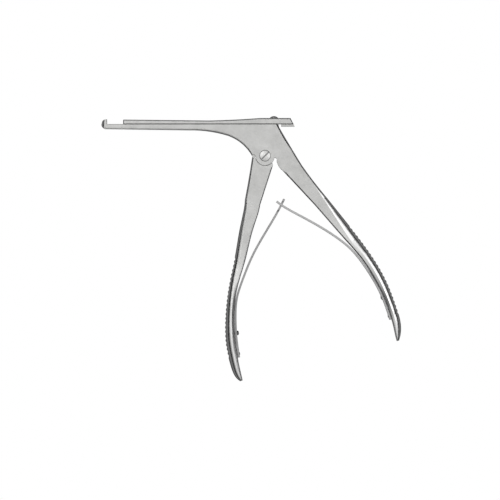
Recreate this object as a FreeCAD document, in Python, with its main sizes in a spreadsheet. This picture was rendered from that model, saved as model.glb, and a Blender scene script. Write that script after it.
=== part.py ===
# Sliding-shaft bone rongeur, drawn lying flat on its side
# X runs along the shaft towards the back, Y up through the shaft, Z through the thickness
# Every outline is measured from the pivot axis, on the middle plane of the tool

import FreeCAD, Part
import math
import os
import re
import Sketcher
from FreeCAD import Placement, Rotation, Vector

SIZES = {
    # Place of the pivot axis and of the middle plane in the finished part
    "pivot_x": 8.4,
    "pivot_y": 55.6,
    "middle_z": 6.2,
    # Clearances
    "slide_gap": 0.08,
    "fork_gap": 0.1,
    "hinge_gap": 0.2,
    "slot_gap": 0.2,
    "bore_gap": 0.04,
    "seat_gap": 0.02,
    # Lower shaft and footplate
    "tip_reach": 98.2,
    "plate_thick": 3.3,
    "plate_rise": 2.9,
    "tip_round": 2.3,
    "seam": 19.0,
    "shaft_deep": 3.25,
    "seam_chamfer": 0.2,
    "tip_half": 2.5,
    "body_half": 3.5,
    "taper_start": 30.0,
    "edge_round": 0.8,
    "slope_round": 1.2,
    "lever_round": 1.3,
    # Web and boss
    "heel_x": 7.3,
    "web_foot_x": 7.8,
    "boss_radius": 5.8,
    "throat_x": 6.6,
    "throat_y": 1.3,
    # Slot through the web and the keyway in the shaft
    "tongue_half": 1.4,
    "slot_front": 9.4,
    "slot_floor_deep": 1.8,
    "key_neck_half": 0.7,
    "key_head_half": 1.35,
    "key_neck_deep": 0.9,
    "key_head_deep": 0.9,
    "front_key_back": 16.1,
    "rear_key_x": 30.0,
    "key_long": 10.0,
    "travel": 9.6,
    # Slider
    "jaw_shut_gap": 0.2,
    "slider_front_high": 2.7,
    "slider_waist_high": 2.1,
    "slider_rear_high": 3.6,
    "slider_rear_x": 15.2,
    "slider_tail_x": 17.6,
    "lip_front_x": 9.6,
    "lip_deep": 1.45,
    "cup_half": 1.5,
    "cup_deep": 2.2,
    # Lever nose and drive screw
    "drive_x": 5.3,
    "fork_past_ball": 0.48,
    "fork_half": 3.3,
    "fork_floor_deep": 2.4,
    "ball_over_seam": 0.2,
    "ball_radius": 1.4,
    "drive_neck_radius": 0.9,
    "drive_shank_radius": 1.3,
    "drive_head_radius": 2.45,
    "drive_head_high": 1.25,
    "drive_slot": 0.6,
    # Pivot screw
    "pivot_radius": 2.0,
    "pivot_head_radius": 3.35,
    "pivot_head_deep": 1.2,
    "pivot_dome": 0.3,
    "pivot_slot": 0.65,
    # Serrations on the outer faces of the grips
    "tooth_pitch": 2.66,
    "tooth_deep": 0.5,
    "inner_chamfer": 0.5,
    "side_fall": 0.15,
    "front_teeth_top": -60.4,
    "front_teeth_end": -122.5,
    "rear_teeth_top": -41.5,
    "rear_teeth_end": -96.5,
    # Leaf springs, their screws and pins
    "leaf_gap": 0.1,
    "leaf_thick": 1.25,
    "leaf_half": 2.9,
    "leaf_tip_half": 2.3,
    "leaf_neck_half": 0.95,
    "leaf_head_half": 1.5,
    "window_half": 1.2,
    "window_long": 3.6,
    "leaf_screw_radius": 1.3,
    "leaf_screw_shank": 0.8,
    "front_screw_high": 1.1,
    "rear_screw_high": 0.55,
    "leaf_screw_long": 3.4,
    "leaf_pin_radius": 0.7,
    "leaf_pin_long": 2.6,
    "leaf_pin_high": 0.4,
}

# Stations down each grip: inner point x and y, direction of the outer face in degrees,
# depth from the inner to the outer face, half width, rounding of the outer corners
FRONT_GRIP = (
    (-3.0, -29.5, 162.5, 9.6, 3.5, 1.6),
    (-6.2, -41.0, 164.6, 8.3, 4.0, 2.2),
    (-9.4, -52.5, 165.4, 7.3, 4.7, 2.7),
    (-12.2, -64.0, 164.6, 6.5, 5.4, 3.1),
    (-15.5, -75.0, 165.8, 5.6, 5.9, 3.3),
    (-17.8, -86.0, 172.0, 5.1, 6.2, 3.4),
    (-18.5, -96.0, 178.5, 5.3, 6.2, 3.5),
    (-18.2, -106.3, 183.5, 5.8, 6.2, 3.7),
    (-17.4, -114.0, 187.0, 5.9, 5.8, 3.7),
    (-16.4, -121.0, 190.0, 5.4, 5.2, 3.4),
    (-14.8, -129.0, 194.5, 4.5, 4.2, 2.7),
    (-13.5, -134.6, 197.0, 1.6, 3.0, 0.8),
)
REAR_GRIP = (
    (30.1, -29.8, 41.5, 8.3, 3.5, 1.5),
    (37.0, -37.7, 41.2, 7.9, 4.0, 2.1),
    (43.6, -45.3, 41.0, 7.5, 4.6, 2.6),
    (50.2, -52.7, 40.5, 6.9, 5.2, 3.0),
    (56.7, -60.2, 37.5, 6.1, 5.7, 3.3),
    (62.4, -68.3, 33.0, 5.8, 6.1, 3.4),
    (67.2, -76.6, 28.5, 5.6, 6.2, 3.5),
    (71.2, -84.7, 25.0, 5.1, 6.2, 3.4),
    (73.8, -91.5, 20.0, 4.9, 5.9, 3.2),
    (75.9, -98.0, 15.5, 4.8, 5.4, 2.9),
    (77.9, -106.3, 13.5, 3.6, 4.3, 2.2),
    (79.0, -111.0, 15.0, 1.3, 3.0, 0.6),
)
SCREW_STATION = "7"
PIN_STATION = "9"
CORNER_PARTS = "4"
STATION_WORDS = ("x", "y", "turn", "depth", "half", "corner")

# Sizes that follow from others
DERIVED = {
    "plate_top": "seam + plate_rise",
    "shaft_under": "seam - shaft_deep",
    "slot_floor": "seam - slot_floor_deep",
    "slider_front_top": "seam + slider_front_high",
    "slider_waist_top": "seam + slider_waist_high",
    "slider_rear_top": "seam + slider_rear_high",
    "lip_low": "seam - lip_deep",
    "fork_floor": "seam - fork_floor_deep",
    "slider_front": "tip_reach - plate_thick - travel - jaw_shut_gap",
    "front_key_x": "slider_front - front_key_back",
    "ball_height": "seam + ball_over_seam",
    "fork_radius": "sqrt(ball_height ^ 2 + drive_x ^ 2) + fork_past_ball",
    "keyway_reach": "front_key_x + key_long / 2 + travel + slot_gap",
}

doc = FreeCAD.newDocument("bone_rongeur")
sheet = doc.addObject("Spreadsheet::Sheet", "Sizes")


def fill_sheet():
    """Write every driving dimension into the sheet under its own word."""
    for name, grip in (("front", FRONT_GRIP), ("rear", REAR_GRIP)):
        for number, station in enumerate(grip):
            for word, size in zip(STATION_WORDS, station):
                SIZES[f"{name}_grip{number}_{word}"] = size
    for row, (word, size) in enumerate(SIZES.items(), start=1):
        sheet.set(f"A{row}", word)
        sheet.set(f"B{row}", str(size))
        sheet.setAlias(f"B{row}", word)
    for row, (word, rule) in enumerate(DERIVED.items(), start=len(SIZES) + 1):
        sheet.set(f"A{row}", word)
        sheet.set(f"B{row}", "=" + rule)
        sheet.setAlias(f"B{row}", word)
    doc.recompute()


def bound(text):
    """Turn the words of the sheet into an expression."""
    return re.sub(r"[a-z]\w*", lambda m: "Sizes." + m[0] if m[0] in SIZES or m[0] in DERIVED else m[0],
                  str(text))


def size(text):
    """Value of an expression made of the sheet's words."""
    return float(sheet.evalExpression(bound(text)))


def new_body(label):
    """A body whose outlines are drawn from the pivot axis on the middle plane."""
    body = doc.addObject("PartDesign::Body", label)
    body.Label = label
    for axis, word in (("x", "pivot_x"), ("y", "pivot_y"), ("z", "middle_z")):
        body.setExpression(f"Placement.Base.{axis}", bound(word))
    return body


def new_sketch(body, name, role="XY_Plane"):
    plane = next(o for o in body.Origin.OriginFeatures if o.Role == role)
    sketch = body.newObject("Sketcher::SketchObject", f"{body.Label}_{name}")
    sketch.AttachmentSupport = (plane, [""])
    sketch.MapMode = "FlatFace"
    return sketch


def pin_point(sketch, shape, end, across, up):
    """Tie one point of a sketch to two expressions."""
    for kind, text in (("DistanceX", across), ("DistanceY", up)):
        number = sketch.addConstraint(Sketcher.Constraint(kind, -1, 1, shape, end, size(text)))
        sketch.setExpression(f"Constraints[{number}]", bound(text))


def outline(sketch, corners):
    """Closed outline: a corner is (x, y), or (x, y, mid_x, mid_y) where an arc leaves it."""
    edges = []
    for here, there in zip(corners, corners[1:] + corners[:1]):
        start = Vector(size(here[0]), size(here[1]), 0)
        stop = Vector(size(there[0]), size(there[1]), 0)
        if len(here) == 2:
            edges.append((sketch.addGeometry(Part.LineSegment(start, stop)), 1, 2))
            continue
        middle = Vector(size(here[2]), size(here[3]), 0)
        arc = sketch.addGeometry(Part.Arc(start, middle, stop))
        first = 1 if (sketch.getPoint(arc, 1) - start).Length < 1e-6 else 2
        edges.append((arc, first, 3 - first))
        mark = sketch.addGeometry(Part.Point(middle), True)
        sketch.addConstraint(Sketcher.Constraint("PointOnObject", mark, 1, arc))
        pin_point(sketch, mark, 1, here[2], here[3])
    for number, (edge, first, last) in enumerate(edges):
        follower, start, _ = edges[(number + 1) % len(edges)]
        sketch.addConstraint(Sketcher.Constraint("Coincident", edge, last, follower, start))
        pin_point(sketch, edge, first, *corners[number][:2])
    return sketch


def box(sketch, left, right, low, high):
    return outline(sketch, [(left, low), (right, low), (right, high), (left, high)])


def ring(sketch, across, up, radius):
    circle = sketch.addGeometry(Part.Circle(Vector(size(across), size(up), 0), Vector(0, 0, 1), size(radius)))
    pin_point(sketch, circle, 3, across, up)
    number = sketch.addConstraint(Sketcher.Constraint("Radius", circle, size(radius)))
    sketch.setExpression(f"Constraints[{number}]", bound(radius))
    return sketch


def extrude(kind, sketch, length, both=True, reverse=False):
    """Pad or pocket of a sketch, to both sides of its plane or to one."""
    body = sketch.getParentGeoFeatureGroup()
    feature = body.newObject(f"PartDesign::{kind}", f"{sketch.Name}_{kind.lower()}")
    feature.Profile = sketch
    feature.Midplane = both
    feature.Reversed = reverse
    feature.setExpression("Length", bound(length))
    sketch.Visibility = False
    doc.recompute()
    return feature


def pad(sketch, length, both=True, reverse=False):
    return extrude("Pad", sketch, length, both, reverse)


def pocket(sketch, length, both=True, reverse=False):
    return extrude("Pocket", sketch, length, both, reverse)


def fillet(body, name, edges, radius):
    """Round the named edges of the body's last feature."""
    feature = body.newObject("PartDesign::Fillet", f"{body.Label}_{name}")
    feature.Base = (body.Tip if body.Tip != feature else feature.BaseFeature, edges)
    feature.setExpression("Radius", bound(radius))
    doc.recompute()
    return feature


def chamfer_along(body, height):
    """Small chamfer on both long edges where the lower shaft and the slider meet."""
    def long_edge(middle, edge):
        here = middle - body.Placement.Base
        side = abs(here.z) > size("tip_half") - 0.1
        return side and abs(here.y - height) < 0.01 and edge.Length > 3 and edge.BoundBox.YLength < 0.01

    feature = body.newObject("PartDesign::Chamfer", f"{body.Label}_seam_chamfer")
    edges = edges_where(body.Shape, long_edge)
    feature.Base = (feature.BaseFeature, edges)
    feature.setExpression("Size", bound("seam_chamfer"))
    doc.recompute()
    return feature


def edges_where(shape, test):
    """Names of the edges whose middle point and box pass a test."""
    names = []
    for number, edge in enumerate(shape.Edges, start=1):
        middle = edge.valueAt((edge.FirstParameter + edge.LastParameter) / 2)
        if test(middle, edge):
            names.append(f"Edge{number}")
    return names


def taper_sides(body):
    """Narrow the shaft towards its rounded tip, both sides alike."""
    slope = "(body_half - tip_half) / (tip_reach - tip_round - taper_start)"
    for name, sign in (("near", "1"), ("far", "-1")):
        pocket(outline(new_sketch(body, f"taper_{name}", "XZ_Plane"), [
            ("3 - taper_start", f"{sign} * (body_half + 3 * {slope})"),
            ("tip_round - tip_reach", f"{sign} * tip_half",
             "0.29 * tip_round - tip_reach", f"{sign} * (tip_half - 0.29 * tip_round)"),
            ("-tip_reach - 0.05", f"{sign} * (tip_half - tip_round)"),
            ("-tip_reach - 2", f"{sign} * (tip_half - tip_round)"),
            ("-tip_reach - 2", f"{sign} * (body_half + 2)"),
            ("3 - taper_start", f"{sign} * (body_half + 2)"),
        ]), "200")


def grip_section(sketch, word):
    """D-shaped section of a grip: flat inside, its outer corners rounded."""
    depth, half, corner = word + "depth", word + "half", word + "corner"
    step = 90 / int(CORNER_PARTS)
    ways = [step * number for number in range(int(CORNER_PARTS))]

    def turned(angle):
        return (f"{depth} - {corner} + {corner} * sin({angle})",
                f"{half} - {corner} + {corner} * cos({angle})")

    def far(corner_point):
        return corner_point[0], f"-({corner_point[1]})"

    near_corner = [turned(way) + turned(way + step / 2) for way in ways]
    far_corner = [far(turned(90 - way)) + far(turned(90 - way - step / 2)) for way in ways]
    inner = f"({half} - side_fall * ({half} - body_half))"
    outline(sketch, [
        ("0", f"inner_chamfer - {inner}"),
        ("0", f"{inner} - inner_chamfer"),
        ("inner_chamfer", inner),
        *near_corner,
        turned(90),
        *far_corner,
        far(turned(0)),
        ("inner_chamfer", f"-{inner}"),
    ])


def grip(body, name, stations):
    """Loft a handle through its sections."""
    sections = []
    for number in range(stations):
        word = f"{name}_grip{number}_"
        sketch = new_sketch(body, f"section{number}", "XZ_Plane")
        sketch.AttachmentOffset = Placement(Vector(), Rotation(Vector(0, 1, 0), size(word + "turn")))
        sketch.setExpression("AttachmentOffset.Base.x", bound(word + "x"))
        sketch.setExpression("AttachmentOffset.Base.z", bound(f"-{word}y"))
        sketch.setExpression("AttachmentOffset.Rotation.Angle", bound(word + "turn"))
        grip_section(sketch, word)
        sections.append(sketch)
    doc.recompute()
    loft = body.newObject("PartDesign::AdditiveLoft", f"{body.Label}_grip")
    loft.Profile = sections[0]
    loft.Sections = sections[1:]
    doc.recompute()
    return loft


def grip_point(name, number, share):
    """Point of a station, at a share of its depth, and the direction of its outer face."""
    word = f"{name}_grip{number}_"
    turn = math.radians(size(word + "turn"))
    facing = Vector(math.cos(turn), math.sin(turn), 0)
    return Vector(size(word + "x"), size(word + "y"), 0) + facing * size(word + "depth") * share, facing


def crest_curve(name, stations):
    """Smooth line down the outer face of a grip."""
    curve = Part.BSplineCurve()
    curve.interpolate([grip_point(name, number, 1.0)[0] for number in range(stations)])
    return curve


def serrate(body, name, stations):
    """Cut cross grooves into the outer face of a grip, at a constant pitch."""
    curve = crest_curve(name, stations)
    edge = curve.toShape()
    total = edge.Length
    side = 1 if name == "rear" else -1
    places = []
    for step in range(int(total / size("tooth_pitch") * 2)):
        point = curve.value(curve.parameterAtDistance(step * size("tooth_pitch") / 2))
        if size(f"{name}_teeth_end") <= point.y <= size(f"{name}_teeth_top"):
            along = Vector(*curve.tangent(curve.parameter(point))[0])
            outward = Vector(-along.y, along.x, 0) * side
            places.append((point, outward))
    if len(places) % 2 == 0:
        places.pop()
    teeth = []
    for number, (point, outward) in enumerate(places):
        sink = size("tooth_deep") if number % 2 else -0.02
        teeth.append(point - outward * sink)
    cover = [point + outward * 2 for point, outward in places[::4]]
    if cover[-1] != places[-1][0] + places[-1][1] * 2:
        cover.append(places[-1][0] + places[-1][1] * 2)
    corners = teeth + cover[::-1]
    sketch = new_sketch(body, "teeth")
    lines = [sketch.addGeometry(Part.LineSegment(a, b)) for a, b in zip(corners, corners[1:] + corners[:1])]
    for here, there in zip(lines, lines[1:] + lines[:1]):
        sketch.addConstraint(Sketcher.Constraint("Coincident", here, 2, there, 1))
    return pocket(sketch, "6 * leaf_half")


def make_frame():
    """Lower shaft, footplate, web and rear handle, forged in one piece."""
    body = new_body("frame")
    plate = "plate_thick - tip_reach"
    side = outline(new_sketch(body, "side"), [
        ("1 - tip_reach", "plate_top"),
        (plate, "plate_top"),
        (plate, "seam"),
        ("heel_x", "seam", "14.7", "6.4"),
        ("22.1", "-5.8", "29.3", "-15.6"),
        ("rear_grip0_x + rear_grip0_depth * cos(rear_grip0_turn)",
         "rear_grip0_y + rear_grip0_depth * sin(rear_grip0_turn)"),
        ("rear_grip0_x", "rear_grip0_y"),
        ("10.6", "-8.9", "8.0", "-5.9"),
        ("throat_x + 0.3", "-throat_y - 1.6", "throat_x - 0.2", "-throat_y"),
        ("sqrt(boss_radius ^ 2 - throat_y ^ 2)", "-throat_y", "0", "-boss_radius"),
        ("-sqrt(boss_radius ^ 2 - 0.16)", "-0.4", "-6.6", "0.6"),
        ("-web_foot_x", "0", "-14.2", "0.48 * shaft_under"),
        ("-22.3", "0.77 * shaft_under", "-32.5", "0.92 * shaft_under"),
        ("-46", "0.978 * shaft_under"),
        ("-70", "shaft_under"),
        ("2.2 - tip_reach", "shaft_under + 0.4", "0.7 - tip_reach", "shaft_under + 1.3"),
        ("-tip_reach", "shaft_under + 2.9"),
        ("-tip_reach", "plate_top - 0.9", "0.25 - tip_reach", "plate_top - 0.25"),
    ])
    pad(side, "2 * body_half")

    def outer_edge(middle, edge):
        here = middle - body.Placement.Base
        flat = abs(here.z) > size("body_half") - 0.01
        top = here.y > size("seam") - 0.05
        near = math.hypot(here.x, here.y) < 2 * size("boss_radius")
        tip = here.x < 3 - size("tip_reach")
        joint = size("rear_grip0_depth") + 0.1
        step = here.x > size("rear_grip0_x") and edge.Length < joint
        return flat and not (top or near or step or tip)

    def behind(middle, edge):
        across = middle.x - body.Placement.Base.x - size("heel_x")
        down = size("seam") - middle.y + body.Placement.Base.y
        return outer_edge(middle, edge) and 0 < down < 2.2 * across

    def below(middle, edge):
        return outer_edge(middle, edge) and not behind(middle, edge)

    fillet(body, "under_round", edges_where(body.Shape, below), "edge_round")
    fillet(body, "slope_round", edges_where(body.Shape, behind), "slope_round")
    taper_sides(body)
    chamfer_along(body, size("seam"))
    grip(body, "rear", len(REAR_GRIP))
    bore_seat(body, "screw_bore", "rear", SCREW_STATION, 0, "leaf_screw_shank + seat_gap", "leaf_screw_long + 0.2")
    bore_seat(body, "pin_bore", "rear", PIN_STATION, 2.2, "leaf_pin_radius + seat_gap", "leaf_pin_long + 0.2")
    pocket(outline(new_sketch(body, "slot"), [
        ("-slot_front", "seam + 4"),
        ("0.4 - boss_radius", "3"),
        ("-boss_radius - 0.8", "-1"),
        ("-8", "-8"),
        ("6.5", "-9"),
        ("throat_x - 0.4", "-3"),
        ("boss_radius + 0.3", "2"),
        ("fork_half + 6.0", "slot_floor"),
        ("20", "slot_floor"),
        ("20", "seam + 4"),
    ]), "2 * (tongue_half + slot_gap)")
    keyway = "-slot_front + 1"
    pocket(box(new_sketch(body, "key_neck"), "-keyway_reach", keyway, "seam - key_neck_deep - 0.1",
               "seam + 1"), "2 * (key_neck_half + slide_gap)")
    pocket(box(new_sketch(body, "key_head"), "-keyway_reach", keyway,
               "seam - key_neck_deep - key_head_deep - 2 * slide_gap", "seam - key_neck_deep"),
           "2 * (key_head_half + slide_gap)")
    pocket(ring(new_sketch(body, "pivot_bore"), "0", "0", "pivot_radius + seat_gap"), "40")
    seat = new_sketch(body, "pivot_seat")
    seat.setExpression("AttachmentOffset.Base.z", bound("body_half - pivot_head_deep"))
    pocket(ring(seat, "0", "0", "pivot_head_radius + seat_gap"), "10", both=False, reverse=True)
    serrate(body, "rear", len(REAR_GRIP))
    return body


def nose(across, along):
    """Point of the lever's nose, across and along the line from pivot to drive ball at rest."""
    turn = "atan(drive_x / ball_height)"
    return (f"({across}) * cos({turn}) + ({along}) * sin({turn})",
            f"({along}) * cos({turn}) - ({across}) * sin({turn})")


def make_front_handle():
    """Lever: forked nose and tongue inside the web, shoulder and grip below it."""
    body = new_body("front_handle")
    jaw = "(ball_radius + fork_gap)"
    disc = "(boss_radius - slot_gap)"
    lift = f"sqrt({disc} ^ 2 - fork_half ^ 2)"
    pad(outline(new_sketch(body, "tongue"), [
        nose("fork_half", lift),
        nose("fork_half", "sqrt(fork_radius ^ 2 - fork_half ^ 2)"),
        nose(jaw, "fork_radius - 0.2"),
        nose(jaw, "fork_floor") + nose("0", f"fork_floor - {jaw}"),
        nose(f"-{jaw}", "fork_floor"),
        nose(f"-{jaw}", "fork_radius - 0.2"),
        nose("-fork_half", "sqrt(fork_radius ^ 2 - fork_half ^ 2)"),
        nose("-fork_half", lift) + (f"-{disc} * cos(10)", f"{disc} * sin(10)"),
        (f"-{disc} * cos(12)", f"-{disc} * sin(12)"),
        ("-6.4", "-4"),
        ("-6.4", "-13"),
        ("1", "-13"),
        ("3.4", "-6"),
        (f"{disc} * cos(25)", f"-{disc} * sin(25)", f"{disc} * cos(10)", f"{disc} * sin(10)"),
    ]), "2 * tongue_half")
    rim = "(boss_radius + hinge_gap)"
    pad(outline(new_sketch(body, "shoulder"), [
        (f"-{rim} * cos(4.8)", f"-{rim} * sin(4.8)", "-6.65", "0.35"),
        ("0.1 - web_foot_x", "-0.45", "-9.95", "-14.5"),
        ("front_grip0_x + front_grip0_depth * cos(front_grip0_turn)",
         "front_grip0_y + front_grip0_depth * sin(front_grip0_turn)"),
        ("front_grip0_x", "front_grip0_y"),
        ("4.5", "-6.3", "4.7", "-5.3"),
        (f"{rim} * cos(45)", f"-{rim} * sin(45)", "0", f"-{rim}"),
    ]), "2 * body_half")

    def outer_edge(middle, edge):
        here = middle - body.Placement.Base
        flat = abs(here.z) > size("body_half") - 0.01
        free = here.y < -7 and here.y > size("front_grip0_y") + 3
        return flat and free

    def leading(middle, edge):
        here = middle - body.Placement.Base
        return outer_edge(middle, edge) and here.x < size("front_grip0_x")

    def trailing(middle, edge):
        return outer_edge(middle, edge) and not leading(middle, edge)

    fillet(body, "leading_round", edges_where(body.Shape, leading), "lever_round")
    fillet(body, "trailing_round", edges_where(body.Shape, trailing), "edge_round")
    grip(body, "front", len(FRONT_GRIP))
    pocket(ring(new_sketch(body, "pivot_bore"), "0", "0", "pivot_radius + bore_gap"), "40")
    bore_seat(body, "screw_bore", "front", SCREW_STATION, 0, "leaf_screw_shank + seat_gap", "leaf_screw_long + 0.2")
    bore_seat(body, "pin_bore", "front", PIN_STATION, 2.2, "leaf_pin_radius + seat_gap", "leaf_pin_long + 0.2")
    serrate(body, "front", len(FRONT_GRIP))
    return body


def seat_sketch(body, name, side, number, shift):
    """Sketch whose upright axis leaves the grip's inner face square, at a station."""
    word = f"{side}_grip{number}_"
    way = -1 if side == "front" else 1
    sketch = new_sketch(body, name)
    sketch.AttachmentOffset = Placement(Vector(), Rotation(Vector(0, 0, 1), size(word + "turn") + 90))
    sketch.setExpression("AttachmentOffset.Base.x", bound(f"{word}x - {way * shift} * sin({word}turn)"))
    sketch.setExpression("AttachmentOffset.Base.y", bound(f"{word}y + {way * shift} * cos({word}turn)"))
    sketch.setExpression("AttachmentOffset.Rotation.Angle", bound(f"{word}turn + 90"))
    return sketch


def turn_feature(kind, sketch):
    """Revolution or groove of a sketch about its upright axis."""
    body = sketch.getParentGeoFeatureGroup()
    feature = body.newObject(f"PartDesign::{kind}", f"{sketch.Name}_{kind.lower()}")
    feature.Profile = sketch
    feature.ReferenceAxis = (sketch, ["V_Axis"])
    feature.Angle = 360
    sketch.Visibility = False
    doc.recompute()
    return feature


def bore_seat(body, name, side, number, shift, radius, deep):
    """Round bore into a grip's inner face."""
    turn_feature("Groove", box(seat_sketch(body, name, side, number, shift), "0", radius, f"-({deep})", "6"))


def make_slider():
    """Upper shaft with its keys, the tail lip, the fork recess and the cutting cup."""
    body = new_body("slider")
    low = "seam + slide_gap"
    pad(outline(new_sketch(body, "side"), [
        ("-slider_front", low),
        ("-slider_front", "slider_front_top - 0.4", "0.12 - slider_front", "slider_front_top - 0.12"),
        ("0.4 - slider_front", "slider_front_top", "-60", "0.5 * slider_front_top + 0.5 * slider_waist_top"),
        ("-34", "slider_waist_top", "-20", "slider_waist_top + 0.45"),
        ("-3", "slider_rear_top"),
        ("slider_rear_x", "slider_rear_top"),
        ("slider_tail_x - 0.6", low),
    ]), "2 * body_half")
    taper_sides(body)

    def top_edge(middle, edge):
        here = middle - body.Placement.Base
        side = abs(here.z) > size("tip_half") - 0.3
        return side and here.y > size("slider_waist_top") - 0.3 and edge.Length > 3

    fillet(body, "rounding", edges_where(body.Shape, top_edge), "edge_round")
    chamfer_along(body, size("seam") + size("slide_gap"))
    pad(outline(new_sketch(body, "lip"), [
        ("lip_front_x", "lip_low"),
        ("slider_tail_x + 0.1", "lip_low"),
        ("slider_tail_x - 0.75", "seam + 0.6"),
        ("lip_front_x", "seam + 0.6"),
    ]), "2 * tongue_half")
    for place in ("front_key_x", "rear_key_x"):
        left, right = f"-{place} - key_long / 2", f"key_long / 2 - {place}"
        pad(box(new_sketch(body, place[:-2] + "_neck"), left, right, "seam - key_neck_deep - 0.2",
                "seam + 0.5"), "2 * key_neck_half")
        pad(box(new_sketch(body, place[:-2] + "_head"), left, right,
                "seam - key_neck_deep - key_head_deep", "seam - key_neck_deep - slide_gap"),
            "2 * key_head_half")
    reach = "(fork_half + 0.55)"
    pocket(box(new_sketch(body, "fork_recess"), f"drive_x - {reach}", f"drive_x + {reach}", "seam - 3",
               "fork_radius + slot_gap"), "2 * (tongue_half + slot_gap)")
    pocket(ring(new_sketch(body, "drive_bore", "XZ_Plane"), "drive_x", "0",
                "drive_shank_radius + seat_gap"), "200")
    pocket(outline(new_sketch(body, "cup"), [
        ("-slider_front - 0.2", "seam + 0.55", "cup_deep - slider_front", "0.5 * seam + 0.5 * slider_front_top"),
        ("-slider_front - 0.2", "slider_front_top - 0.45"),
    ]), "2 * cup_half")
    return body


def make_pivot_screw():
    """Slotted screw through the web, its domed head let into the near side."""
    body = new_body("pivot_screw")
    turn_feature("Revolution", outline(new_sketch(body, "profile", "XZ_Plane"), [
        ("0", "0.05 - body_half"),
        ("pivot_radius - 0.3", "0.05 - body_half"),
        ("pivot_radius", "0.35 - body_half"),
        ("pivot_radius", "body_half - pivot_head_deep"),
        ("pivot_head_radius", "body_half - pivot_head_deep"),
        ("pivot_head_radius", "body_half - 0.1",
         "0.5 * pivot_head_radius", "body_half + 0.75 * pivot_dome - 0.025"),
        ("0", "body_half + pivot_dome"),
    ]))
    sketch = new_sketch(body, "driver_slot")
    sketch.AttachmentOffset = Placement(Vector(), Rotation(Vector(0, 0, 1), 45))
    sketch.setExpression("AttachmentOffset.Base.z", bound("body_half - 0.45"))
    pocket(box(sketch, "-pivot_head_radius - 1", "pivot_head_radius + 1", "-pivot_slot / 2",
               "pivot_slot / 2"), "5", both=False, reverse=True)
    return body


def make_drive_screw():
    """Domed screw down through the slider, its ball end held in the lever's fork."""
    body = new_body("drive_screw")
    sketch = new_sketch(body, "profile")
    sketch.setExpression("AttachmentOffset.Base.x", bound("drive_x"))
    roof = "fork_radius + slot_gap"
    turn_feature("Revolution", outline(sketch, [
        ("0", "ball_height - ball_radius", "ball_radius", "ball_height"),
        ("drive_neck_radius", "ball_height + sqrt(ball_radius ^ 2 - drive_neck_radius ^ 2)"),
        ("drive_neck_radius", roof),
        ("drive_shank_radius", roof),
        ("drive_shank_radius", "slider_rear_top + seat_gap"),
        ("drive_head_radius", "slider_rear_top + seat_gap"),
        ("drive_head_radius", "slider_rear_top + 0.2",
         "0.5 * drive_head_radius", "slider_rear_top + 0.79 * drive_head_high + 0.04"),
        ("0", "slider_rear_top + drive_head_high"),
    ]))
    pocket(box(new_sketch(body, "driver_slot", "YZ_Plane"), "slider_rear_top + drive_head_high - 0.6",
               "slider_rear_top + 4", "-drive_slot / 2", "drive_slot / 2"), "40")
    return body


# Free length of each leaf, from where it leaves the grip to its tip
FRONT_LEAF = ((-13.6, -74.6), (-7.6, -60.0), (2.7, -41.8), (9.7, -29.4), (11.4, -25.9))
REAR_LEAF = ((61.0, -67.9), (52.0, -56.4), (41.3, -47.8), (20.8, -35.8), (9.7, -29.4), (6.9, -27.3))
CROSSING_X = 9.7


def make_leaf(side, seats, free):
    """Leaf spring: lies on the grip at its stations, then bends away to its tip."""
    body = new_body(f"{side}_spring")
    rise = size("leaf_thick") / 2 + size("leaf_gap")
    points = []
    for number in seats:
        point, facing = grip_point(side, number, 0)
        points.append(point - facing * rise)
    middle = Part.BSplineCurve()
    middle.interpolate(points + [Vector(x, y, 0) for x, y in free])
    first, last = middle.FirstParameter, middle.LastParameter
    rails = []
    for sign in (1, -1):
        rail = []
        for step in range(17):
            place = first + (last - first) * step / 16
            along = Vector(*middle.tangent(place)[0])
            rail.append(middle.value(place) + Vector(-along.y, along.x, 0) * sign * size("leaf_thick") / 2)
        rails.append(rail)
    sketch = new_sketch(body, "side")
    edges = []
    for rail in (rails[0], rails[1][::-1]):
        curve = Part.BSplineCurve()
        curve.interpolate(rail)
        edges.append(sketch.addGeometry(curve))
    sketch.addGeometry(Part.LineSegment(rails[0][-1], rails[1][-1]))
    sketch.addGeometry(Part.LineSegment(rails[1][0], rails[0][0]))
    pad(sketch, "2 * leaf_half")
    return body


def trim_leaf(body, role, profile):
    """Cut both sides of a leaf to a half width that changes along it."""
    for name, sign in (("near", "1"), ("far", "-1")):
        corners = [(along, f"{sign} * ({half})") for along, half in profile]
        corners += [(profile[-1][0], f"{sign} * 9"), (profile[0][0], f"{sign} * 9")]
        pocket(outline(new_sketch(body, f"trim_{name}", role), corners), "400")


def make_front_spring():
    body = make_leaf("front", (9, 8, 7, 6, 5), FRONT_LEAF)
    trim_leaf(body, "YZ_Plane", [
        ("-66", "leaf_half + 0.1"),
        ("-33.5", "leaf_tip_half"),
        ("-32.2", "leaf_neck_half"),
        ("-27.9", "leaf_neck_half"),
        ("-27.3", "leaf_head_half"),
        ("-20", "leaf_head_half"),
    ])
    bore_seat(body, "screw_bore", "front", SCREW_STATION, 0, "leaf_screw_shank + seat_gap", "2")
    bore_seat(body, "pin_bore", "front", PIN_STATION, 2.2, "leaf_pin_radius + seat_gap", "2")
    return body


def make_rear_spring():
    body = make_leaf("rear", (9, 8, 7, 6), REAR_LEAF)
    trim_leaf(body, "XZ_Plane", [("46", "leaf_half + 0.1"), ("14", "leaf_tip_half"), ("0", "leaf_tip_half")])
    pocket(box(new_sketch(body, "window", "XZ_Plane"), f"{CROSSING_X} - 0.45 * window_long",
               f"{CROSSING_X} + 0.45 * window_long", "-window_half", "window_half"), "400")
    bore_seat(body, "screw_bore", "rear", SCREW_STATION, 0, "leaf_screw_shank + seat_gap", "2")
    bore_seat(body, "pin_bore", "rear", PIN_STATION, 2.2, "leaf_pin_radius + seat_gap", "2")
    return body


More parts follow.
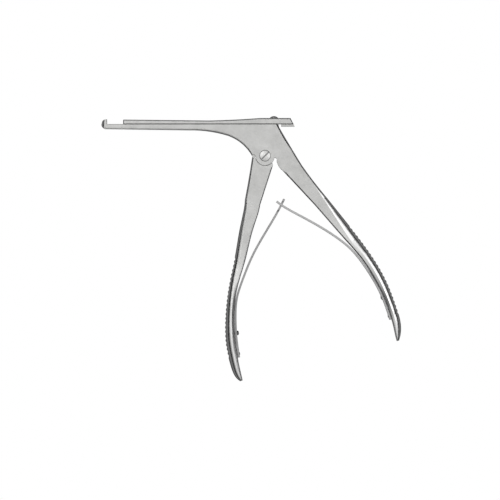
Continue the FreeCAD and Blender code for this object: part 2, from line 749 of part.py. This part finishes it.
def make_leaf_screw(side, high):
    """Slotted screw that holds a leaf on its grip."""
    body = new_body(f"{side}_spring_screw")
    under = "leaf_gap + leaf_thick + 3 * seat_gap"
    top = f"{under} + {high}"
    turn_feature("Revolution", outline(seat_sketch(body, "profile", side, SCREW_STATION, 0), [
        ("0", "-leaf_screw_long"),
        ("leaf_screw_shank", "-leaf_screw_long"),
        ("leaf_screw_shank", under),
        ("leaf_screw_radius", under),
        ("leaf_screw_radius", f"{top} - 0.4", "0.5 * leaf_screw_radius", f"{top} - 0.1"),
        ("0", top),
    ]))
    pocket(box(seat_sketch(body, "driver_slot", side, SCREW_STATION, 0), "-3", "3", f"{top} - 0.35", "8"), "0.5")
    return body


def make_leaf_pin(side):
    """Round pin that keeps the end of a leaf in line."""
    body = new_body(f"{side}_spring_pin")
    turn_feature("Revolution", box(seat_sketch(body, "profile", side, PIN_STATION, 2.2), "0", "leaf_pin_radius",
                                   "-leaf_pin_long", "leaf_gap + leaf_thick + leaf_pin_high"))
    return body


def export(bodies):
    """Stop on any bad feature or solid, then write one STEP file for each body."""
    doc.recompute()
    for item in doc.Objects:
        if "Invalid" in item.State or "Error" in item.State:
            raise RuntimeError(f"{item.Name} did not compute: {item.State}")
    os.makedirs("parts", exist_ok=True)
    for body in bodies:
        if body.Shape.isNull() or not body.Shape.isValid():
            raise RuntimeError(f"{body.Label} is not a valid solid")
        body.Shape.exportStep(f"parts/{body.Label}.step")


fill_sheet()
bodies = [
    make_frame(),
    make_front_handle(),
    make_slider(),
    make_pivot_screw(),
    make_drive_screw(),
    make_front_spring(),
    make_rear_spring(),
    make_leaf_screw("front", "front_screw_high"),
    make_leaf_screw("rear", "rear_screw_high"),
    make_leaf_pin("front"),
    make_leaf_pin("rear"),
]
export(bodies)
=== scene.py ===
import math

import bmesh
import bpy
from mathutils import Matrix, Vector


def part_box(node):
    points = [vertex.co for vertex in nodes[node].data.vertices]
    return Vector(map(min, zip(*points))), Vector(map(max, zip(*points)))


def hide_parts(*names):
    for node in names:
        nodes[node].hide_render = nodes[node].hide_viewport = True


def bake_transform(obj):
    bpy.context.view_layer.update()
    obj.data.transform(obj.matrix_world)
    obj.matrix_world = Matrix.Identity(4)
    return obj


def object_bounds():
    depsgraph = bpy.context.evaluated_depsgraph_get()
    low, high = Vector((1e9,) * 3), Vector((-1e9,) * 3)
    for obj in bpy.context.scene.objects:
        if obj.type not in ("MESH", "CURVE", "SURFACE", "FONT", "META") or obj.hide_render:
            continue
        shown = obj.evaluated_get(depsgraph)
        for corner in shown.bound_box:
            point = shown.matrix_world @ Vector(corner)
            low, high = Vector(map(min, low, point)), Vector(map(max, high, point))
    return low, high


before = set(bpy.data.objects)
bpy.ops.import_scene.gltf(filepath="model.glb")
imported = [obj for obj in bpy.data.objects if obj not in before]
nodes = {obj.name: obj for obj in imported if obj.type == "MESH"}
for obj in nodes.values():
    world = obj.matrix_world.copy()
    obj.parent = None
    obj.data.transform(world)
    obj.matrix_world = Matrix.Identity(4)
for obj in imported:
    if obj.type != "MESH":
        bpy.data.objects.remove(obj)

cad_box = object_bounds()

MM = 0.001
MIDDLE_Z = 6.2 * MM  # the instrument's middle plane; it lies on z = 0
low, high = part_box("pivot_screw")
PIVOT = Vector(((low[0] + high[0]) / 2, (low[1] + high[1]) / 2, MIDDLE_Z))


def from_pivot(point):
    """Place in the frame of a point in mm from the pivot, on the middle plane."""
    return PIVOT + Vector((*point, 0)) * MM


def unit(direction):
    """Unit vector in the middle plane."""
    return Vector((*direction, 0)).normalized()


# Camera: straight down on the side face, the picture 300 mm wide

LENS_MM = 200
SENSOR_MM = 36
PICTURE_WIDE = 300 * MM
AIM = from_pivot((-9.06, -56.46))
camera_data = bpy.data.cameras.new("camera")
camera_data.lens = LENS_MM
camera_data.sensor_width = SENSOR_MM
camera = bpy.data.objects.new("camera", camera_data)
camera.location = AIM + Vector((0, 0, PICTURE_WIDE * LENS_MM / SENSOR_MM))
bpy.context.scene.collection.objects.link(camera)
bpy.context.scene.camera = camera
bpy.context.scene.view_settings.view_transform = "Standard"


# Node helpers: each value is a number, a vector, or another node's output

# A Mix node's first value among its inputs, and its result among its outputs
MIX_PLACES = {"FLOAT": (2, 0), "RGBA": (6, 2)}


def node(tree, kind, **values):
    """Add a node; set or link its inputs, or set its attributes, by name."""
    made = tree.nodes.new(kind)
    for key, value in values.items():
        name = key.replace("_", " ")
        if name in made.inputs:
            feed(tree, made.inputs[name], value)
        else:
            setattr(made, key, value)
    return made


def feed(tree, socket, value):
    """Link an output to a socket, or set the value on it."""
    if isinstance(value, bpy.types.NodeSocket):
        tree.links.new(value, socket)
    else:
        socket.default_value = value


def calc(tree, operation, *values):
    """Result of a Math node on numbers."""
    made = node(tree, "ShaderNodeMath", operation=operation)
    for socket, value in zip(made.inputs, values):
        feed(tree, socket, value)
    return made.outputs["Value"]


def vector_calc(tree, operation, *values):
    """Result of a Vector Math node: a number for a dot product or a length."""
    made = node(tree, "ShaderNodeVectorMath", operation=operation)
    for socket, value in zip(made.inputs, values):
        feed(tree, socket, value)
    return made.outputs["Value" if operation in ("DOT_PRODUCT", "LENGTH") else "Vector"]


def axis(tree, vector, letter):
    """One component of a vector."""
    return node(tree, "ShaderNodeSeparateXYZ", Vector=vector).outputs[letter]


def smooth_step(tree, value, start, end):
    """0 up to start, 1 from end on, and smooth between; end may be the lower one."""
    made = node(tree, "ShaderNodeMapRange", interpolation_type="SMOOTHSTEP",
                Value=value, From_Min=start, From_Max=end)
    return made.outputs["Result"]


def mix(tree, kind, share, first, second):
    """First where share is 0, second where it is 1."""
    made = node(tree, "ShaderNodeMix", data_type=kind)
    place, result = MIX_PLACES[kind]
    for at, value in ((0, share), (place, first), (place + 1, second)):
        feed(tree, made.inputs[at], value)
    return made.outputs[result]


def rgba(level):
    """Full colour from a grey level or from red, green and blue."""
    return (level, level, level, 1) if isinstance(level, float) else (*level, 1)


def ramp(tree, value, stops):
    """Colour ramp on a value; a stop is (place, grey level or colour)."""
    stops = tuple(stops)
    made = node(tree, "ShaderNodeValToRGB", Fac=value)
    band = made.color_ramp
    while len(band.elements) < len(stops):
        band.elements.new(0.5)
    for element, (place, level) in zip(band.elements, stops):
        element.position = place
        element.color = rgba(level)
    return made.outputs["Color"]


# Materials

CLOUDING = {"Scale": 140.0, "Detail": 4.0, "Roughness": 0.6}
GRAIN = {"Detail": 5.0, "Roughness": 0.65}
GRAIN_DEPTH = 0.01 * MM
GRAIN_STRENGTH = 0.5
TONE_RANGE = (0.32, 0.68)  # the noise's values that give the darkest and the lightest tone
GLOSS_RANGE = (0.30, 0.70)
GLOSS_SPREAD = 0.05  # roughness more and less than a satin's own, over that range
CLOUDED_POLISH = 0.93  # darkest tone of a burnished part, as a share of its lightest
FLAT_LIMITS = (0.90, 0.99)  # Z of a normal: burnished up to the first, flat from the second
WORN_LIMITS = (0.999, 0.98)  # worn edge's normal on the solid's own: unworn, and burnished
GRIP_BLEND = 45 * MM  # the satin fades out over this height below a grip's top
BELOW_ALL = PIVOT.y - 200 * MM  # under the whole object


def steel(name, light, dark, polish_and_shade, rough, smooth, grain_scale, worn, grip_top=BELOW_ALL):
    """Steel with two finishes: satin flats, and burnished edges, rims and grips.

    The clouded flats run from dark to light. The burnished parts have a smooth finish, and
    their darker grey is painted shade on the faces turned away from Z; rough and smooth are
    the two finishes' roughness. Worn is the radius of the worn edges in mm.
    Under grip_top the flats lose their satin.
    """
    material = bpy.data.materials.new(name)
    material.use_nodes = True
    tree = material.node_tree
    shader = tree.nodes["Principled BSDF"]
    shader.inputs["Metallic"].default_value = 1.0
    shader.inputs["Specular Tint"].default_value = rgba(0.02)
    place = node(tree, "ShaderNodeTexCoord").outputs
    cloud = node(tree, "ShaderNodeTexNoise", Vector=place["Object"], **CLOUDING)
    fine = node(tree, "ShaderNodeTexNoise", Vector=place["Object"], Scale=grain_scale, **GRAIN)
    both = mix(tree, "FLOAT", 0.5, cloud.outputs["Fac"], fine.outputs["Fac"])

    # Flats: where the surface faces along Z, and with satin only above the hand's grips
    level = calc(tree, "ABSOLUTE", axis(tree, place["Normal"], "Z"))
    flat = smooth_step(tree, level, *FLAT_LIMITS)
    flat.node.name = "flat"
    upper = smooth_step(tree, axis(tree, place["Object"], "Y"), grip_top - GRIP_BLEND, grip_top)
    satin_part = calc(tree, "MULTIPLY", flat, upper)

    # Tone: the burnished parts keep a trace of the clouding; their darker grey is painted shade
    # where the surface turns away from Z
    tone = ramp(tree, both, zip(TONE_RANGE, (dark, light)))
    shine = ramp(tree, both, zip(GLOSS_RANGE, (CLOUDED_POLISH * polish_and_shade, polish_and_shade)))
    feed(tree, shader.inputs["Base Color"], mix(tree, "RGBA", flat, shine, tone))

    # Worn edges: rounder in the shading, under the fine grain
    edges = node(tree, "ShaderNodeBevel", name="worn_edges", samples=4, Radius=worn * MM)
    bump = node(tree, "ShaderNodeBump", name="grain", Strength=GRAIN_STRENGTH,
                Distance=GRAIN_DEPTH, Height=both, Normal=edges.outputs["Normal"])
    feed(tree, shader.inputs["Normal"], bump.outputs["Normal"])

    # Finish: smooth where the worn edge leans away from the solid's own face
    gloss = node(tree, "ShaderNodeMapRange", Value=both,
                 From_Min=GLOSS_RANGE[0], From_Max=GLOSS_RANGE[1],
                 To_Min=rough + GLOSS_SPREAD, To_Max=rough - GLOSS_SPREAD)
    finish = mix(tree, "FLOAT", satin_part, smooth, gloss.outputs["Result"])
    own = node(tree, "ShaderNodeNewGeometry").outputs["Normal"]
    lean = vector_calc(tree, "DOT_PRODUCT", edges.outputs["Normal"], own)
    worn_part = smooth_step(tree, lean, *WORN_LIMITS)
    feed(tree, shader.inputs["Roughness"], mix(tree, "FLOAT", worn_part, finish, smooth))
    return material


def half_plane(tree, place, through, normal, blur):
    """0 on one side of a line, 1 on the side its normal points to; in mm from the pivot."""
    shift = vector_calc(tree, "SUBTRACT", place, from_pivot(through))
    gap = vector_calc(tree, "DOT_PRODUCT", shift, unit(normal))
    return smooth_step(tree, gap, 0.0, blur * MM)


def wear_wider(material, zones):
    """Rounder worn edges in zones, each the common part of half planes: (extra mm, sides)."""
    tree = material.node_tree
    place = node(tree, "ShaderNodeTexCoord").outputs["Object"]
    radius = tree.nodes["worn_edges"].inputs["Radius"]
    total = radius.default_value
    for extra, sides in zones:
        part = extra * MM
        for side in sides:
            part = calc(tree, "MULTIPLY", half_plane(tree, place, *side), part)
        total = calc(tree, "ADD", part, total)
    feed(tree, radius, total)


def tint(material, mask, shade):
    """Mix a grey level into the base colour where a mask is 1; it paints shade and highlights.
    """
    tree = material.node_tree
    colour = tree.nodes["Principled BSDF"].inputs["Base Color"]
    before = colour.links[0].from_socket
    feed(tree, colour, mix(tree, "RGBA", mask, before, rgba(shade)))


SLOT_BLUR = 0.1 * MM
RIM_BAND = (0.45 * MM, 0.15 * MM)  # in from the rim: where its painted shade starts, and is full
# Painted shade: the grey of the slot and of the band round the rim
SLOT_AND_RIM_SHADE = 0.22


def slot_and_rim(material, middle, turn, slot_half, rim):
    """Painted shade in a screw's driver slot and round its rim, on a screw seen along Z."""
    tree = material.node_tree
    place = node(tree, "ShaderNodeTexCoord").outputs["Object"]
    shift = vector_calc(tree, "SUBTRACT", place, middle)
    spin = node(tree, "ShaderNodeVectorRotate", rotation_type="Z_AXIS",
                Vector=shift, Angle=-turn)
    away = calc(tree, "ABSOLUTE", axis(tree, spin.outputs["Vector"], "Y"))
    slot = smooth_step(tree, away, slot_half + SLOT_BLUR, slot_half - SLOT_BLUR)
    out = vector_calc(tree, "LENGTH", vector_calc(tree, "MULTIPLY", shift, (1, 1, 0)))
    edge = smooth_step(tree, out, rim - RIM_BAND[0], rim - RIM_BAND[1])
    tint(material, calc(tree, "MAXIMUM", slot, edge), SLOT_AND_RIM_SHADE)


LONG_EDGE_LIMITS = (0.25, 0.6)  # worn normal's part across a leaf: none of the painted shade, and all
RAISE = (1, 1, 4)


def soften_slopes(material, across, shade):
    """Lean a leaf's worn normals towards Z, and give its long edges painted shade in a grey
    level.
    """
    tree = material.node_tree
    worn = tree.nodes["worn_edges"].outputs["Normal"]
    slope = calc(tree, "ABSOLUTE", vector_calc(tree, "DOT_PRODUCT", worn, unit(across)))
    tint(material, smooth_step(tree, slope, *LONG_EDGE_LIMITS), shade)
    raised = vector_calc(tree, "NORMALIZE", vector_calc(tree, "MULTIPLY", worn, RAISE))
    feed(tree, tree.nodes["grain"].inputs["Normal"], raised)


CURVE_REACH = 24 * MM  # what the Float Curve's 0 to 1 stands for, across a handle
LINE_BLUR = 0.2 * MM
FACET_ROUGHNESS = 0.2


def crown(material, start, end, line, left, right, strength, aside=0.0, facet=0.0, shine=None):
    """Crown along a handle, with a painted highlight: in the shading the side falls away from a
    bent line.

    The line is (share of the way from start to end, mm to its left), all shifted aside. The
    side falls by left or right times the distance squared, in metres; a facet is a plain
    slope on the left instead, and smooth. Strength is (share of the way, strength). On the
    left the flat takes the lighter grey level shine, a painted highlight.
    """
    tree = material.node_tree
    start = from_pivot(start)
    way = from_pivot(end) - start
    across = Vector((-way.y, way.x, 0)).normalized()
    place = node(tree, "ShaderNodeTexCoord").outputs["Object"]
    shift = vector_calc(tree, "SUBTRACT", place, start)
    share = vector_calc(tree, "DOT_PRODUCT", shift, way / way.length_squared)

    # Gap: how far to the left of the line a point lies
    bend = node(tree, "ShaderNodeFloatCurve", Value=share)
    points = bend.mapping.curves[0].points
    while len(points) < len(line):
        points.new(0.5, 0.5)
    for point, (along, offset) in zip(points, line):
        point.location = (along, 0.5 + (offset + aside) * MM / CURVE_REACH)
    bend.mapping.update()
    middle = calc(tree, "MULTIPLY_ADD", bend.outputs["Value"], CURVE_REACH, -0.5 * CURVE_REACH)
    gap = calc(tree, "SUBTRACT", vector_calc(tree, "DOT_PRODUCT", shift, across), middle)

    # Depth: how far the side has fallen there
    on_left = calc(tree, "MAXIMUM", gap, 0.0)
    on_right = calc(tree, "MINIMUM", gap, 0.0)
    if facet:
        depth = calc(tree, "MULTIPLY", on_left, facet)
    else:
        root = calc(tree, "MULTIPLY", on_left, math.sqrt(left))
        root = calc(tree, "MULTIPLY_ADD", on_right, math.sqrt(right), root)
        depth = calc(tree, "MULTIPLY", root, root)
    fade = ramp(tree, share, strength)
    grain_normal = tree.nodes["grain"].inputs["Normal"]
    bump = node(tree, "ShaderNodeBump", invert=True, Strength=1.0, Distance=1.0,
                Height=calc(tree, "MULTIPLY", depth, fade),
                Normal=grain_normal.links[0].from_socket)
    feed(tree, grain_normal, bump.outputs["Normal"])

    # Painted highlight: the flat left of the line takes the lighter grey shine
    if shine is None:
        return
    left_side = calc(tree, "MULTIPLY", smooth_step(tree, gap, -LINE_BLUR, LINE_BLUR), fade)
    flat = tree.nodes["flat"].outputs["Result"]
    tint(material, calc(tree, "MULTIPLY", left_side, flat), shine)
    if facet:
        roughness = tree.nodes["Principled BSDF"].inputs["Roughness"]
        before = roughness.links[0].from_socket
        feed(tree, roughness, mix(tree, "FLOAT", left_side, before, FACET_ROUGHNESS))


GRIP_TOP = PIVOT.y - 30 * MM
# Each steel's burnished grey is darker than its flats: painted shade on faces turned away from
# Z
SATIN = {"light": (0.63, 0.63, 0.62), "dark": (0.55, 0.55, 0.54), "polish_and_shade": 0.30,
         "rough": 0.46, "smooth": 0.20, "grain_scale": 1400.0, "worn": 0.3}
SPRING = {"rough": 0.46, "smooth": 0.55, "grain_scale": 1800.0, "worn": 0.45}
SCREW = {"rough": 0.34, "smooth": 0.26, "grain_scale": 1600.0, "worn": 0.2}
PIN = {"rough": 0.40, "smooth": 0.35, "grain_scale": 1600.0, "worn": 0.1}
satin = steel("satin_steel", grip_top=GRIP_TOP, **SATIN)
front_satin = steel("front_satin_steel", grip_top=GRIP_TOP - 18 * MM, **SATIN)
front_spring = steel("front_spring_steel", light=0.42, dark=0.36, polish_and_shade=0.34, **SPRING)
rear_spring = steel("rear_spring_steel", light=0.52, dark=0.46, polish_and_shade=0.44, **SPRING)
screw = steel("screw_steel", light=(0.48, 0.48, 0.47), dark=0.40, polish_and_shade=0.30, **SCREW)
leaf_screw = steel("leaf_screw_steel", light=0.22, dark=0.16, polish_and_shade=0.16, **SCREW)
# The pins' near-black grey is painted shade, for the dark spot where a leaf ends
pin = steel("pin_steel", light=0.10, dark=0.06, polish_and_shade=0.08, **PIN)
pivot = steel("pivot_steel", light=(0.68, 0.68, 0.67), dark=(0.58, 0.58, 0.57),
              polish_and_shade=0.54, **SCREW)

# Half planes: a point on the line, the side it points to, and the blur, in mm
FRONT_OUTER = ((-1.5, 0), (-1, 0.118), 0.5)
FRONT_INNER = ((-1.5, 0), (1, -0.118), 0.5)
REAR_OUTER = ((33.2, -27.0), (31.3, 25.9), 0.5)
BELOW_WEB = ((0, -2), (0, -1), 35)
wear_wider(satin, (
    # Slider's top
    (0.5, (((0, 20.2), (0, 1), 0.3),)),
    # Underside of the shaft and the front of the web
    (1.3, (((0, 17.2), (0, -1), 0.5), ((-8, 0), (-1, 0), 0.5))),
    # Outer side of the rear handle, above the end of its grip
    (0.9, (REAR_OUTER, BELOW_WEB, ((0, -60), (0, 1), 12))),
))
wear_wider(front_satin, (
    # Outer side of the handle, above the end of its grip
    (0.9, (FRONT_OUTER, BELOW_WEB, ((0, -70), (0, 1), 12))),
    # Outer side of the grip
    (0.9, (FRONT_OUTER, ((0, -50), (0, -1), 30))),
    # Inner side of the grip
    (0.5, (FRONT_INNER, ((0, -45), (0, -1), 20))),
))

# Front handle: its grip, with a painted highlight, then its upper part
crown(front_satin, (-12.9, -51.6), (-14.3, -134.8),
      ((0.0, 0.0), (0.139, -2.22), (0.274, -4.92), (0.41, -6.85), (0.534, -7.51),
       (0.661, -7.28), (0.755, -6.39), (0.84, -5.01), (0.937, -2.8), (1.0, 0.0)),
      left=90.0, right=50.0, strength=((0.0, 0.0), (0.3, 0.2), (0.52, 1.0)),
      aside=0.6, shine=0.72)
crown(front_satin, (-7.7, -0.4), (-18.5, -62.3), ((0.0, 0.0), (0.5, 0.15), (1.0, 0.0)),
      left=0.0, right=60.0, strength=((0.0, 0.0), (0.5, 1.0), (0.75, 1.0), (1.0, 0.0)),
      aside=2.6)
# Rear handle: its grip, then the facet down its upper part, both with a painted highlight
crown(satin, (46.4, -42.8), (79.6, -110.8),
      ((0.0, 0.0), (0.128, 2.4), (0.258, 4.6), (0.39, 6.06), (0.52, 6.65), (0.641, 6.44),
       (0.74, 5.68), (0.832, 4.64), (0.941, 2.19), (1.0, 0.0)),
      left=25.0, right=15.0, strength=((0.0, 0.0), (0.3, 1.0)), aside=-0.9, shine=0.88)
crown(satin, (14.7, 6.4), (61.5, -56.5),
      ((0.0, 0.0), (0.3, -2.2), (0.5, -3.0), (0.67, -3.9), (0.9, -4.9), (1.0, -4.7)),
      left=0.0, right=0.0, strength=((0.15, 0.0), (0.5, 1.0), (0.87, 1.0), (1.0, 0.0)),
      facet=0.17, shine=0.82)
# The leaves' long edges get painted shade
soften_slopes(front_spring, across=(0.87, -0.5), shade=0.10)
soften_slopes(rear_spring, across=(0.5, 0.87), shade=0.40)
slot_and_rim(pivot, PIVOT, turn=math.radians(45), slot_half=0.33 * MM,
             rim=(high[0] - low[0]) / 2)

LOOKS = {
    "frame": satin, "front_handle": front_satin, "slider": satin,
    "pivot_screw": pivot, "drive_screw": screw,
    "front_spring_screw": leaf_screw, "rear_spring_screw": leaf_screw,
    "front_spring_pin": pin, "rear_spring_pin": pin,
}


def dress(mesh, look):
    """Give a mesh one material."""
    mesh.materials.clear()
    mesh.materials.append(look)


for name, look in LOOKS.items():
    dress(nodes[name].data, look)


# Footplate: its upper front corner drawn in to a round, as in the photograph

TIP_CENTRE = from_pivot((-95.2, 18.9))
TIP_RADIUS = 3.0 * MM


def round_tip(centre, radius):
    """Draw the points in front of and above a centre in to a circle, by a modifier."""
    tree = bpy.data.node_groups.new("round_tip", "GeometryNodeTree")
    for in_out in ("INPUT", "OUTPUT"):
        tree.interface.new_socket("Geometry", in_out=in_out,
                                  socket_type="NodeSocketGeometry")
    start = node(tree, "NodeGroupInput")
    here = node(tree, "GeometryNodeInputPosition").outputs["Position"]
    away = vector_calc(tree, "SUBTRACT", here, centre)
    flat = vector_calc(tree, "MULTIPLY", away, (1, 1, 0))
    length = vector_calc(tree, "LENGTH", flat)
    drawn = vector_calc(tree, "MULTIPLY", flat, calc(tree, "DIVIDE", radius, length))
    in_front = calc(tree, "LESS_THAN", axis(tree, away, "X"), 0.0)
    above = calc(tree, "GREATER_THAN", axis(tree, away, "Y"), 0.0)
    beyond = calc(tree, "GREATER_THAN", length, radius)
    corner = calc(tree, "MULTIPLY", calc(tree, "MULTIPLY", in_front, above), beyond)
    place = node(tree, "GeometryNodeSetPosition", Geometry=start.outputs[0],
                 Selection=corner, Offset=vector_calc(tree, "SUBTRACT", drawn, flat))
    feed(tree, node(tree, "NodeGroupOutput").inputs[0], place.outputs["Geometry"])
    nodes["frame"].modifiers.new("round_tip", "NODES").node_group = tree


round_tip(TIP_CENTRE, TIP_RADIUS)


# Leaf springs: the solid's own shape, cut fine enough to bend with the handles

CROSSING = from_pivot((9.7, -29.4))
LEAF_CUTS = 48
MERGE = 0.001 * MM
SAME_FACE = math.radians(0.5)
CUT_LIMIT = 0.0002 * MM
SHARP = math.radians(30)


def leaf(name, look, start):
    """Copy a leaf, slice it along its length and show it in place of the solid."""
    mesh = nodes[name + "_spring"].data.copy()
    mesh.attributes.remove(mesh.attributes["custom_normal"])
    piece = bpy.data.objects.new(name + "_leaf", mesh)
    bpy.context.scene.collection.objects.link(piece)
    dress(mesh, look)
    start = from_pivot(start)
    end = start + 2 * (CROSSING - start)
    way = (end - start).normalized()
    shape = bmesh.new()
    shape.from_mesh(mesh)
    bmesh.ops.remove_doubles(shape, verts=shape.verts, dist=MERGE)
    bmesh.ops.dissolve_limit(shape, angle_limit=SAME_FACE, verts=shape.verts,
                             edges=shape.edges)
    for number in range(LEAF_CUTS + 1):
        bmesh.ops.bisect_plane(shape, geom=shape.verts[:] + shape.edges[:] + shape.faces[:],
                               plane_co=start + (end - start) * number / LEAF_CUTS,
                               plane_no=way, dist=CUT_LIMIT)
    shape.to_mesh(mesh)
    shape.free()
    mesh.shade_smooth()
    mesh.set_sharp_from_angle(angle=SHARP)
    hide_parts(name + "_spring")
    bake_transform(piece)


leaf("front", front_spring, (-17.8, -86.0))
leaf("rear", rear_spring, (62.4, -68.3))


# Floor: pale and matt; white straight to the camera, and partly so in the steel

FLOOR_HALF = 3.0
FLOOR_GAP = 0.1 * MM
FLOOR_GREY = 0.9
FLOOR_IN_STEEL = 0.35  # share of the white that a reflection shows


def stage_floor():
    """Large plane just under the object."""
    mesh = bpy.data.meshes.new("floor")
    corners = [(-FLOOR_HALF, -FLOOR_HALF, 0), (FLOOR_HALF, -FLOOR_HALF, 0),
               (FLOOR_HALF, FLOOR_HALF, 0), (-FLOOR_HALF, FLOOR_HALF, 0)]
    mesh.from_pydata(corners, [], [(0, 1, 2, 3)])
    floor = bpy.data.objects.new("floor", mesh)
    floor.location = (0, 0, cad_box[0][2] - FLOOR_GAP)
    bpy.context.scene.collection.objects.link(floor)
    material = bpy.data.materials.new("floor_white")
    material.use_nodes = True
    tree = material.node_tree
    tree.nodes.clear()
    path = node(tree, "ShaderNodeLightPath").outputs
    mirrored = calc(tree, "MULTIPLY", path["Is Glossy Ray"], FLOOR_IN_STEEL)
    seen = calc(tree, "MAXIMUM", path["Is Camera Ray"], mirrored)
    matt = node(tree, "ShaderNodeBsdfDiffuse", Color=rgba(FLOOR_GREY))
    glow = node(tree, "ShaderNodeEmission", Color=rgba(1.0), Strength=1.0)
    mixed = node(tree, "ShaderNodeMixShader")
    for socket, value in zip(mixed.inputs, (seen, matt.outputs[0], glow.outputs[0])):
        feed(tree, socket, value)
    node(tree, "ShaderNodeOutputMaterial", Surface=mixed.outputs[0])
    dress(mesh, material)


stage_floor()


# World: white to the camera, and a soft dome for the rest: dark half-way up, bright overhead

SKY = ((0.0, 0.60), (0.12, 0.45), (0.30, 0.02), (0.58, 0.015), (0.80, 0.30), (0.93, 1.0))


def dome(sky):
    """Sky of (height, grey level), for everything but the camera."""
    world = bpy.data.worlds.new("studio")
    bpy.context.scene.world = world
    world.use_nodes = True
    tree = world.node_tree
    tree.nodes.clear()
    place = node(tree, "ShaderNodeTexCoord").outputs["Generated"]
    grey = ramp(tree, axis(tree, place, "Z"), sky)
    camera_ray = node(tree, "ShaderNodeLightPath").outputs["Is Camera Ray"]
    back = node(tree, "ShaderNodeBackground", Strength=1.0,
                Color=mix(tree, "RGBA", camera_ray, grey, rgba(1.0)))
    node(tree, "ShaderNodeOutputWorld", Surface=back.outputs[0])


dome(SKY)


def softbox(name, at, wide, tall, power):
    """Rectangular lamp that faces the object."""
    data = bpy.data.lights.new(name, "AREA")
    data.shape = "RECTANGLE"
    data.size = wide
    data.size_y = tall
    data.energy = power
    lamp = bpy.data.objects.new(name, data)
    lamp.location = at
    lamp.rotation_euler = (-Vector(at)).to_track_quat("-Z", "Y").to_euler()
    bpy.context.scene.collection.objects.link(lamp)


softbox("softbox_left", at=(-0.7, 0.6, 1.7), wide=1.1, tall=1.1, power=4.0)
softbox("softbox_right", at=(0.9, 0.2, 1.6), wide=0.9, tall=1.1, power=2.5)
